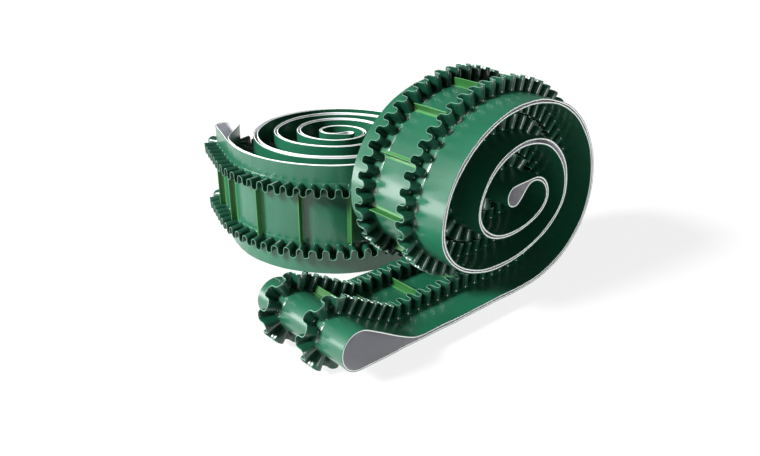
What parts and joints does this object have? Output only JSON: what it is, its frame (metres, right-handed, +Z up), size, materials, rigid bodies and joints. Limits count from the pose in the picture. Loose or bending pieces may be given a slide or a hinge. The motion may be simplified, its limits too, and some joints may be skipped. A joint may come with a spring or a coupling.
{
  "type": "cleated sidewall conveyor belt",
  "caption": "Endless green PVC conveyor belts with corrugated sidewalls and cleats: one rolled upright on its own flat tail, one wound as a coil lying on its edge.",
  "frame": {"origin": "on the floor, under the middle of the bounding box", "axes": "+X along the roll's tail towards the roll, +Y from the roll towards the coil, +Z up"},
  "size_m": [1.1859, 1.279, 0.7293],
  "materials": {
    "green_pvc": "satin",
    "sidewall_pvc": "satin",
    "cleat_pvc": "satin",
    "woven_carcass": "woven"
  },
  "bodies": {
    "root": {"roll_fabric_ply": "woven_carcass", "roll_green_cover": "green_pvc", "roll_front_sidewall": "sidewall_pvc", "roll_rear_sidewall": "sidewall_pvc", "roll_cleats_01": "cleat_pvc", "roll_cleats_02": "cleat_pvc", "roll_cleats_03": "cleat_pvc", "roll_cleats_04": "cleat_pvc", "roll_cleats_05": "cleat_pvc", "roll_cleats_06": "cleat_pvc", "roll_cleats_07": "cleat_pvc", "roll_cleats_08": "cleat_pvc", "roll_cleats_09": "cleat_pvc", "roll_cleats_10": "cleat_pvc", "roll_cleats_11": "cleat_pvc", "coil_fabric_ply": "woven_carcass", "coil_green_cover": "green_pvc", "coil_upper_sidewall": "sidewall_pvc", "coil_lower_sidewall": "sidewall_pvc", "coil_cleats_01": "cleat_pvc", "coil_cleats_02": "cleat_pvc", "coil_cleats_03": "cleat_pvc", "coil_cleats_04": "cleat_pvc", "coil_cleats_05": "cleat_pvc", "coil_cleats_06": "cleat_pvc", "coil_cleats_07": "cleat_pvc", "coil_cleats_08": "cleat_pvc", "coil_cleats_09": "cleat_pvc", "coil_cleats_10": "cleat_pvc", "coil_cleats_11": "cleat_pvc", "coil_cleats_12": "cleat_pvc", "coil_cleats_13": "cleat_pvc", "coil_cleats_14": "cleat_pvc"}
  },
  "joints": []
}
